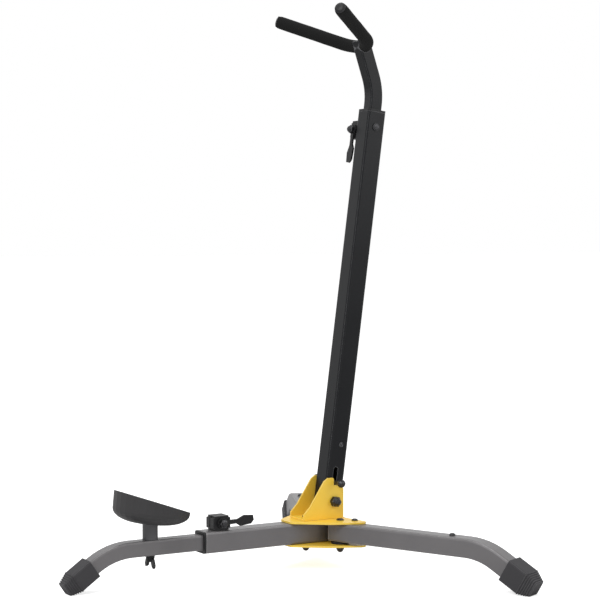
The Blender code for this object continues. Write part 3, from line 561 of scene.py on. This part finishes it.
def buildRibTree():
    # square rings in a row along Z, each one sized between the first and the last
    tree = bpy.data.node_groups.new("ribRings", "GeometryNodeTree")
    tree.interface.new_socket("Count", in_out="INPUT", socket_type="NodeSocketInt")
    for label in ("Run", "First Side", "Last Side", "Corner Share", "Rib Radius"):
        tree.interface.new_socket(label, in_out="INPUT", socket_type="NodeSocketFloat")
    tree.interface.new_socket("Finish", in_out="INPUT", socket_type="NodeSocketMaterial")
    tree.interface.new_socket("Geometry", in_out="OUTPUT", socket_type="NodeSocketGeometry")
    nodes = tree.nodes
    links = tree.links
    start = nodes.new("NodeGroupInput")
    end = nodes.new("NodeGroupOutput")
    ring = nodes.new("GeometryNodeCurvePrimitiveQuadrilateral")
    ring.inputs["Width"].default_value = 1
    ring.inputs["Height"].default_value = 1
    rounded = nodes.new("GeometryNodeFilletCurve")
    rounded.mode = "POLY"
    rounded.inputs["Count"].default_value = feetRibs["cornerSteps"]
    links.new(ring.outputs["Curve"], rounded.inputs["Curve"])
    links.new(start.outputs["Corner Share"], rounded.inputs["Radius"])
    profile = nodes.new("GeometryNodeCurvePrimitiveCircle")
    profile.inputs["Resolution"].default_value = feetRibs["ribSides"]
    thin = nodes.new("ShaderNodeMath")
    thin.operation = "DIVIDE"
    links.new(start.outputs["Rib Radius"], thin.inputs[0])
    links.new(start.outputs["First Side"], thin.inputs[1])
    links.new(thin.outputs[0], profile.inputs["Radius"])
    bar = nodes.new("GeometryNodeCurveToMesh")
    links.new(rounded.outputs["Curve"], bar.inputs["Curve"])
    links.new(profile.outputs["Curve"], bar.inputs["Profile Curve"])
    row = nodes.new("GeometryNodeMeshLine")
    row.mode = "END_POINTS"
    reach = nodes.new("ShaderNodeCombineXYZ")
    links.new(start.outputs["Run"], reach.inputs["Z"])
    links.new(start.outputs["Count"], row.inputs["Count"])
    links.new(reach.outputs[0], row.inputs["Offset"])
    index = nodes.new("GeometryNodeInputIndex")
    last = nodes.new("ShaderNodeMath")
    last.operation = "SUBTRACT"
    last.inputs[1].default_value = 1
    links.new(start.outputs["Count"], last.inputs[0])
    size = nodes.new("ShaderNodeMapRange")
    links.new(index.outputs[0], size.inputs["Value"])
    links.new(last.outputs[0], size.inputs["From Max"])
    links.new(start.outputs["First Side"], size.inputs["To Min"])
    links.new(start.outputs["Last Side"], size.inputs["To Max"])
    copies = nodes.new("GeometryNodeInstanceOnPoints")
    links.new(row.outputs["Mesh"], copies.inputs["Points"])
    links.new(bar.outputs["Mesh"], copies.inputs["Instance"])
    links.new(size.outputs["Result"], copies.inputs["Scale"])
    real = nodes.new("GeometryNodeRealizeInstances")
    finish = nodes.new("GeometryNodeSetMaterial")
    links.new(copies.outputs["Instances"], real.inputs["Geometry"])
    links.new(real.outputs["Geometry"], finish.inputs["Geometry"])
    links.new(start.outputs["Finish"], finish.inputs["Material"])
    links.new(finish.outputs["Geometry"], end.inputs["Geometry"])
    return tree


def meshFromTree(name, tree, values):
    # runs a tree on an empty mesh and gives back its plain result
    holder = bpy.data.objects.new(name + "Holder", bpy.data.meshes.new(name + "Holder"))
    bpy.context.scene.collection.objects.link(holder)
    modifier = holder.modifiers.new("tree", "NODES")
    modifier.node_group = tree
    inputs = [item for item in tree.interface.items_tree if item.in_out == "INPUT"]
    sockets = {item.name: item.identifier for item in inputs}
    for label, value in values.items():
        modifier[sockets[label]] = value
    graph = bpy.context.evaluated_depsgraph_get()
    mesh = bpy.data.meshes.new_from_object(holder.evaluated_get(graph))
    bpy.data.objects.remove(holder, do_unlink=True)
    mesh.name = name
    return mesh


def footPlace(node, foot):
    # the foot's mouth and axis, read from its CAD mesh
    droop = math.radians(foot["droop"])
    heading = Vector((*foot["heading"], 0)).normalized()
    axis = heading * math.cos(droop) - Vector((0, 0, math.sin(droop)))
    side = axis.cross(Vector((0, 0, 1))).normalized()
    corners = [vert.co for vert in frame["nodes"][node].data.vertices]
    mouthReach = min(corner.dot(axis) for corner in corners)
    mouth = [corner for corner in corners if corner.dot(axis) < mouthReach + feetRibs["mouthDepth"]]
    across = [corner.dot(side) for corner in mouth]
    up = axis.cross(side)
    upward = [corner.dot(up) for corner in mouth]
    middle = side * (min(across) + max(across)) / 2 + up * (min(upward) + max(upward)) / 2
    place = Matrix((side, up, axis)).transposed().to_4x4()
    place.translation = middle + axis * mouthReach
    return place


def sideAt(foot, reach):
    # the width of the foot's tip at a reach along its axis
    share = 1 - (1 - feetRibs["tipShare"]) * (reach - feetRibs["sleeve"]) / feetRibs["tip"]
    return foot["side"] * share


def makeFeetRibs():
    tree = buildRibTree()
    for node, foot in feet.items():
        name = node.replace("_", " ").title().replace(" ", "") + "Ribs"
        mesh = meshFromTree(name, tree, {
            "Count": feetRibs["count"],
            "Run": feetRibs["lastReach"] - feetRibs["firstReach"],
            "First Side": sideAt(foot, feetRibs["firstReach"]),
            "Last Side": sideAt(foot, feetRibs["lastReach"]),
            "Corner Share": feetRibs["corner"],
            "Rib Radius": feetRibs["ribRadius"],
            "Finish": materials["footRubber"],
        })
        mesh.transform(footPlace(node, foot) @ Matrix.Translation((0, 0, feetRibs["firstReach"])))
        cut = bmesh.new()
        cut.from_mesh(mesh)
        everything = cut.verts[:] + cut.edges[:] + cut.faces[:]
        level = Vector((0, 0, feetRibs["floorGap"]))
        sliced = bmesh.ops.bisect_plane(
            cut, geom=everything, plane_co=level, plane_no=(0, 0, 1), clear_inner=True
        )
        rim = [item for item in sliced["geom_cut"] if isinstance(item, bmesh.types.BMEdge)]
        bmesh.ops.holes_fill(cut, edges=rim)
        cut.to_mesh(mesh)
        cut.free()
        mesh.shade_smooth()
        ribs = bpy.data.objects.new(name, mesh)
        bpy.context.scene.collection.objects.link(ribs)
        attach(ribs, foot["body"])


makeFeetRibs()
print("feet ribbed")


# Flush rivet low on the right wall of the upright
rivet = {
    "rise": 76.5 * mm,
    "back": 3 * mm,           # behind the line through the pivot
    "radius": 3.3 * mm,
    "proud": 0.7 * mm,
    "around": 28,
    "profile": (              # shares of the radius and of the proud height, from the rim inwards
        (1.0, -0.2),
        (1.0, 0.45),
        (0.82, 1.0),
        (0.62, 0.75),
        (0.55, 0.2),
        (0.38, 0.45),
        (0.0, 0.55),
    ),
    "sharpAngle": 50,
}


def makeRivet():
    lean = Vector(joints["mast_height"]["axis"])
    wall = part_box("upright_tube")[1][0]
    front = Vector((1, 0, 0)).cross(lean)
    centre = Vector((wall, pivot.y, pivot.z)) + lean * rivet["rise"] - front * rivet["back"]
    meshData = bmesh.new()
    rows = []
    for share, rise in rivet["profile"]:
        middle = centre + Vector((rise * rivet["proud"], 0, 0))
        if share == 0:
            rows.append([meshData.verts.new(middle)])
            continue
        row = []
        for step in range(rivet["around"]):
            angle = 2 * math.pi * step / rivet["around"]
            spoke = lean * math.sin(angle) + front * math.cos(angle)
            row.append(meshData.verts.new(middle + spoke * rivet["radius"] * share))
        rows.append(row)
    for first, second in zip(rows[:-1], rows[1:-1]):
        bridgeRings(meshData, first, second)
    for step in range(rivet["around"]):
        following = (step + 1) % rivet["around"]
        meshData.faces.new((rows[-2][step], rows[-2][following], rows[-1][0]))
    meshData.faces.new(rows[0])
    head = addMesh("uprightRivet", meshData, materials["blackFastener"], rivet["sharpAngle"])
    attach(head, "upright")


makeRivet()
print("rivet set")
